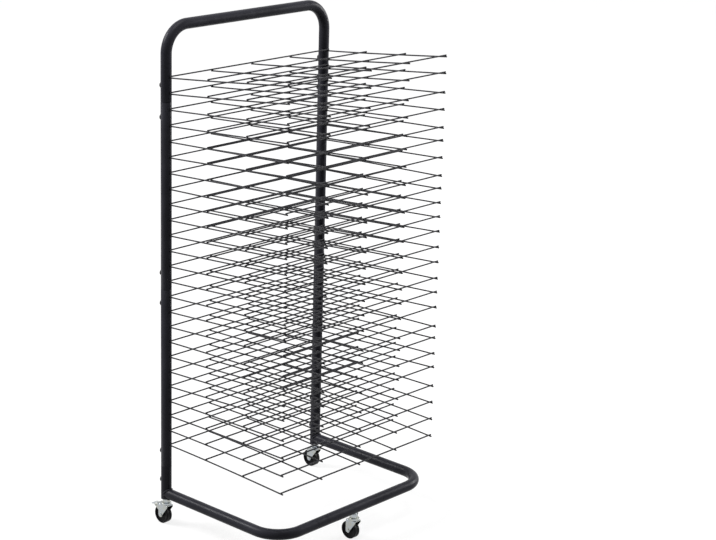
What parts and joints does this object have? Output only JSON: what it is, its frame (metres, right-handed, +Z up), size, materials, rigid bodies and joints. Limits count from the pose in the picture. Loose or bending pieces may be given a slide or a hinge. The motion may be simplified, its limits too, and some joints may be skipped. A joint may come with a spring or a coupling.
{
  "type": "mobile art drying rack",
  "caption": "Tall tubular drying rack on castors: two posts carry evenly spaced pull-out wire grid shelves that stand out over a U-shaped base.",
  "frame": {"origin": "on the floor, midway between the two posts and on the line between their axes", "axes": "+X to the right along the push bar, +Z up; the shelves stand out towards -Y"},
  "size_m": [0.466, 0.3721, 1.049],
  "materials": {
    "frame_paint": "gloss",
    "shelf_wire": "satin",
    "sleeve_steel": "satin",
    "bolt_steel": "satin",
    "castor_zinc": "polished",
    "wheel_plastic": "satin"
  },
  "bodies": {
    "frame": {"base_frame": "frame_paint", "top_bow": "frame_paint", "lower_post_left": "frame_paint", "upper_post_left": "frame_paint", "lower_post_right": "frame_paint", "upper_post_right": "frame_paint", "foot_sleeve_left": "sleeve_steel", "foot_sleeve_right": "sleeve_steel", "middle_sleeve_left": "sleeve_steel", "middle_sleeve_right": "sleeve_steel", "upper_sleeve_left": "sleeve_steel", "upper_sleeve_right": "sleeve_steel", "frame_bolts": "bolt_steel", "castor_socket_left": "castor_zinc", "castor_socket_right": "castor_zinc", "castor_socket_front": "castor_zinc", "castor_left_stem": "castor_zinc", "castor_left_race": "castor_zinc", "castor_right_stem": "castor_zinc", "castor_right_race": "castor_zinc", "castor_front_stem": "castor_zinc", "castor_front_race": "castor_zinc"},
    "shelf_01": {"shelf_01": "shelf_wire"},
    "shelf_02": {"shelf_02": "shelf_wire"},
    "shelf_03": {"shelf_03": "shelf_wire"},
    "shelf_04": {"shelf_04": "shelf_wire"},
    "shelf_05": {"shelf_05": "shelf_wire"},
    "shelf_06": {"shelf_06": "shelf_wire"},
    "shelf_07": {"shelf_07": "shelf_wire"},
    "shelf_08": {"shelf_08": "shelf_wire"},
    "shelf_09": {"shelf_09": "shelf_wire"},
    "shelf_10": {"shelf_10": "shelf_wire"},
    "shelf_11": {"shelf_11": "shelf_wire"},
    "shelf_12": {"shelf_12": "shelf_wire"},
    "shelf_13": {"shelf_13": "shelf_wire"},
    "shelf_14": {"shelf_14": "shelf_wire"},
    "shelf_15": {"shelf_15": "shelf_wire"},
    "shelf_16": {"shelf_16": "shelf_wire"},
    "shelf_17": {"shelf_17": "shelf_wire"},
    "shelf_18": {"shelf_18": "shelf_wire"},
    "shelf_19": {"shelf_19": "shelf_wire"},
    "shelf_20": {"shelf_20": "shelf_wire"},
    "shelf_21": {"shelf_21": "shelf_wire"},
    "shelf_22": {"shelf_22": "shelf_wire"},
    "shelf_23": {"shelf_23": "shelf_wire"},
    "shelf_24": {"shelf_24": "shelf_wire"},
    "shelf_25": {"shelf_25": "shelf_wire"},
    "castor_left_swivel": {"castor_left_fork": "castor_zinc", "castor_left_axle": "castor_zinc", "castor_left_brake_pin": "castor_zinc"},
    "castor_left_roller": {"castor_left_wheel": "wheel_plastic"},
    "castor_right_swivel": {"castor_right_fork": "castor_zinc", "castor_right_axle": "castor_zinc"},
    "castor_right_roller": {"castor_right_wheel": "wheel_plastic"},
    "castor_front_swivel": {"castor_front_fork": "castor_zinc", "castor_front_axle": "castor_zinc"},
    "castor_front_roller": {"castor_front_wheel": "wheel_plastic"},
    "brake_pedal": {"castor_left_brake_pedal": "castor_zinc"}
  },
  "joints": [
    {"name": "shelf_01_slide", "type": "slide", "parent": "frame", "child": "shelf_01", "axis": [0, -0.9986, 0.0523], "range_m": [0, 0.022]},
    {"name": "shelf_02_slide", "type": "slide", "parent": "frame", "child": "shelf_02", "axis": [0, -0.9986, 0.0523], "range_m": [0, 0.022]},
    {"name": "shelf_03_slide", "type": "slide", "parent": "frame", "child": "shelf_03", "axis": [0, -0.9986, 0.0523], "range_m": [0, 0.022]},
    {"name": "shelf_04_slide", "type": "slide", "parent": "frame", "child": "shelf_04", "axis": [0, -0.9986, 0.0523], "range_m": [0, 0.022]},
    {"name": "shelf_05_slide", "type": "slide", "parent": "frame", "child": "shelf_05", "axis": [0, -0.9986, 0.0523], "range_m": [0, 0.022]},
    {"name": "shelf_06_slide", "type": "slide", "parent": "frame", "child": "shelf_06", "axis": [0, -0.9986, 0.0523], "range_m": [0, 0.022]},
    {"name": "shelf_07_slide", "type": "slide", "parent": "frame", "child": "shelf_07", "axis": [0, -0.9986, 0.0523], "range_m": [0, 0.022]},
    {"name": "shelf_08_slide", "type": "slide", "parent": "frame", "child": "shelf_08", "axis": [0, -0.9986, 0.0523], "range_m": [0, 0.022]},
    {"name": "shelf_09_slide", "type": "slide", "parent": "frame", "child": "shelf_09", "axis": [0, -0.9986, 0.0523], "range_m": [0, 0.022]},
    {"name": "shelf_10_slide", "type": "slide", "parent": "frame", "child": "shelf_10", "axis": [0, -0.9986, 0.0523], "range_m": [0, 0.022]},
    {"name": "shelf_11_slide", "type": "slide", "parent": "frame", "child": "shelf_11", "axis": [0, -0.9986, 0.0523], "range_m": [0, 0.022]},
    {"name": "shelf_12_slide", "type": "slide", "parent": "frame", "child": "shelf_12", "axis": [0, -0.9986, 0.0523], "range_m": [0, 0.022]},
    {"name": "shelf_13_slide", "type": "slide", "parent": "frame", "child": "shelf_13", "axis": [0, -0.9986, 0.0523], "range_m": [0, 0.022]},
    {"name": "shelf_14_slide", "type": "slide", "parent": "frame", "child": "shelf_14", "axis": [0, -0.9986, 0.0523], "range_m": [0, 0.022]},
    {"name": "shelf_15_slide", "type": "slide", "parent": "frame", "child": "shelf_15", "axis": [0, -0.9986, 0.0523], "range_m": [0, 0.022]},
    {"name": "shelf_16_slide", "type": "slide", "parent": "frame", "child": "shelf_16", "axis": [0, -0.9986, 0.0523], "range_m": [0, 0.022]},
    {"name": "shelf_17_slide", "type": "slide", "parent": "frame", "child": "shelf_17", "axis": [0, -0.9986, 0.0523], "range_m": [0, 0.022]},
    {"name": "shelf_18_slide", "type": "slide", "parent": "frame", "child": "shelf_18", "axis": [0, -0.9986, 0.0523], "range_m": [0, 0.022]},
    {"name": "shelf_19_slide", "type": "slide", "parent": "frame", "child": "shelf_19", "axis": [0, -0.9986, 0.0523], "range_m": [0, 0.022]},
    {"name": "shelf_20_slide", "type": "slide", "parent": "frame", "child": "shelf_20", "axis": [0, -0.9986, 0.0523], "range_m": [0, 0.022]},
    {"name": "shelf_21_slide", "type": "slide", "parent": "frame", "child": "shelf_21", "axis": [0, -0.9986, 0.0523], "range_m": [0, 0.022]},
    {"name": "shelf_22_slide", "type": "slide", "parent": "frame", "child": "shelf_22", "axis": [0, -0.9986, 0.0523], "range_m": [0, 0.022]},
    {"name": "shelf_23_slide", "type": "slide", "parent": "frame", "child": "shelf_23", "axis": [0, -0.9986, 0.0523], "range_m": [0, 0.022]},
    {"name": "shelf_24_slide", "type": "slide", "parent": "frame", "child": "shelf_24", "axis": [0, -0.9986, 0.0523], "range_m": [0, 0.022]},
    {"name": "shelf_25_slide", "type": "slide", "parent": "frame", "child": "shelf_25", "axis": [0, -0.9986, 0.0523], "range_m": [0, 0.022]},
    {"name": "castor_left_turn", "type": "hinge", "parent": "frame", "child": "castor_left_swivel", "pos_m": [-0.222, 0, 0.0435], "axis": [0, 0, 1], "continuous": true},
    {"name": "castor_left_roll", "type": "hinge", "parent": "castor_left_swivel", "child": "castor_left_roller", "pos_m": [-0.222, 0.009, 0.019], "axis": [1, 0, 0], "continuous": true},
    {"name": "castor_right_turn", "type": "hinge", "parent": "frame", "child": "castor_right_swivel", "pos_m": [0.222, 0, 0.0435], "axis": [0, 0, 1], "continuous": true},
    {"name": "castor_right_roll", "type": "hinge", "parent": "castor_right_swivel", "child": "castor_right_roller", "pos_m": [0.222, 0.009, 0.019], "axis": [1, 0, 0], "continuous": true},
    {"name": "castor_front_turn", "type": "hinge", "parent": "frame", "child": "castor_front_swivel", "pos_m": [0, -0.323, 0.0435], "axis": [0, 0, 1], "continuous": true},
    {"name": "castor_front_roll", "type": "hinge", "parent": "castor_front_swivel", "child": "castor_front_roller", "pos_m": [0, -0.314, 0.019], "axis": [1, 0, 0], "continuous": true},
    {"name": "brake_pedal_press", "type": "hinge", "parent": "castor_left_swivel", "child": "brake_pedal", "pos_m": [-0.222, 0.02349, 0.03712], "axis": [-1, 0, 0], "range_deg": [0, 20]}
  ]
}
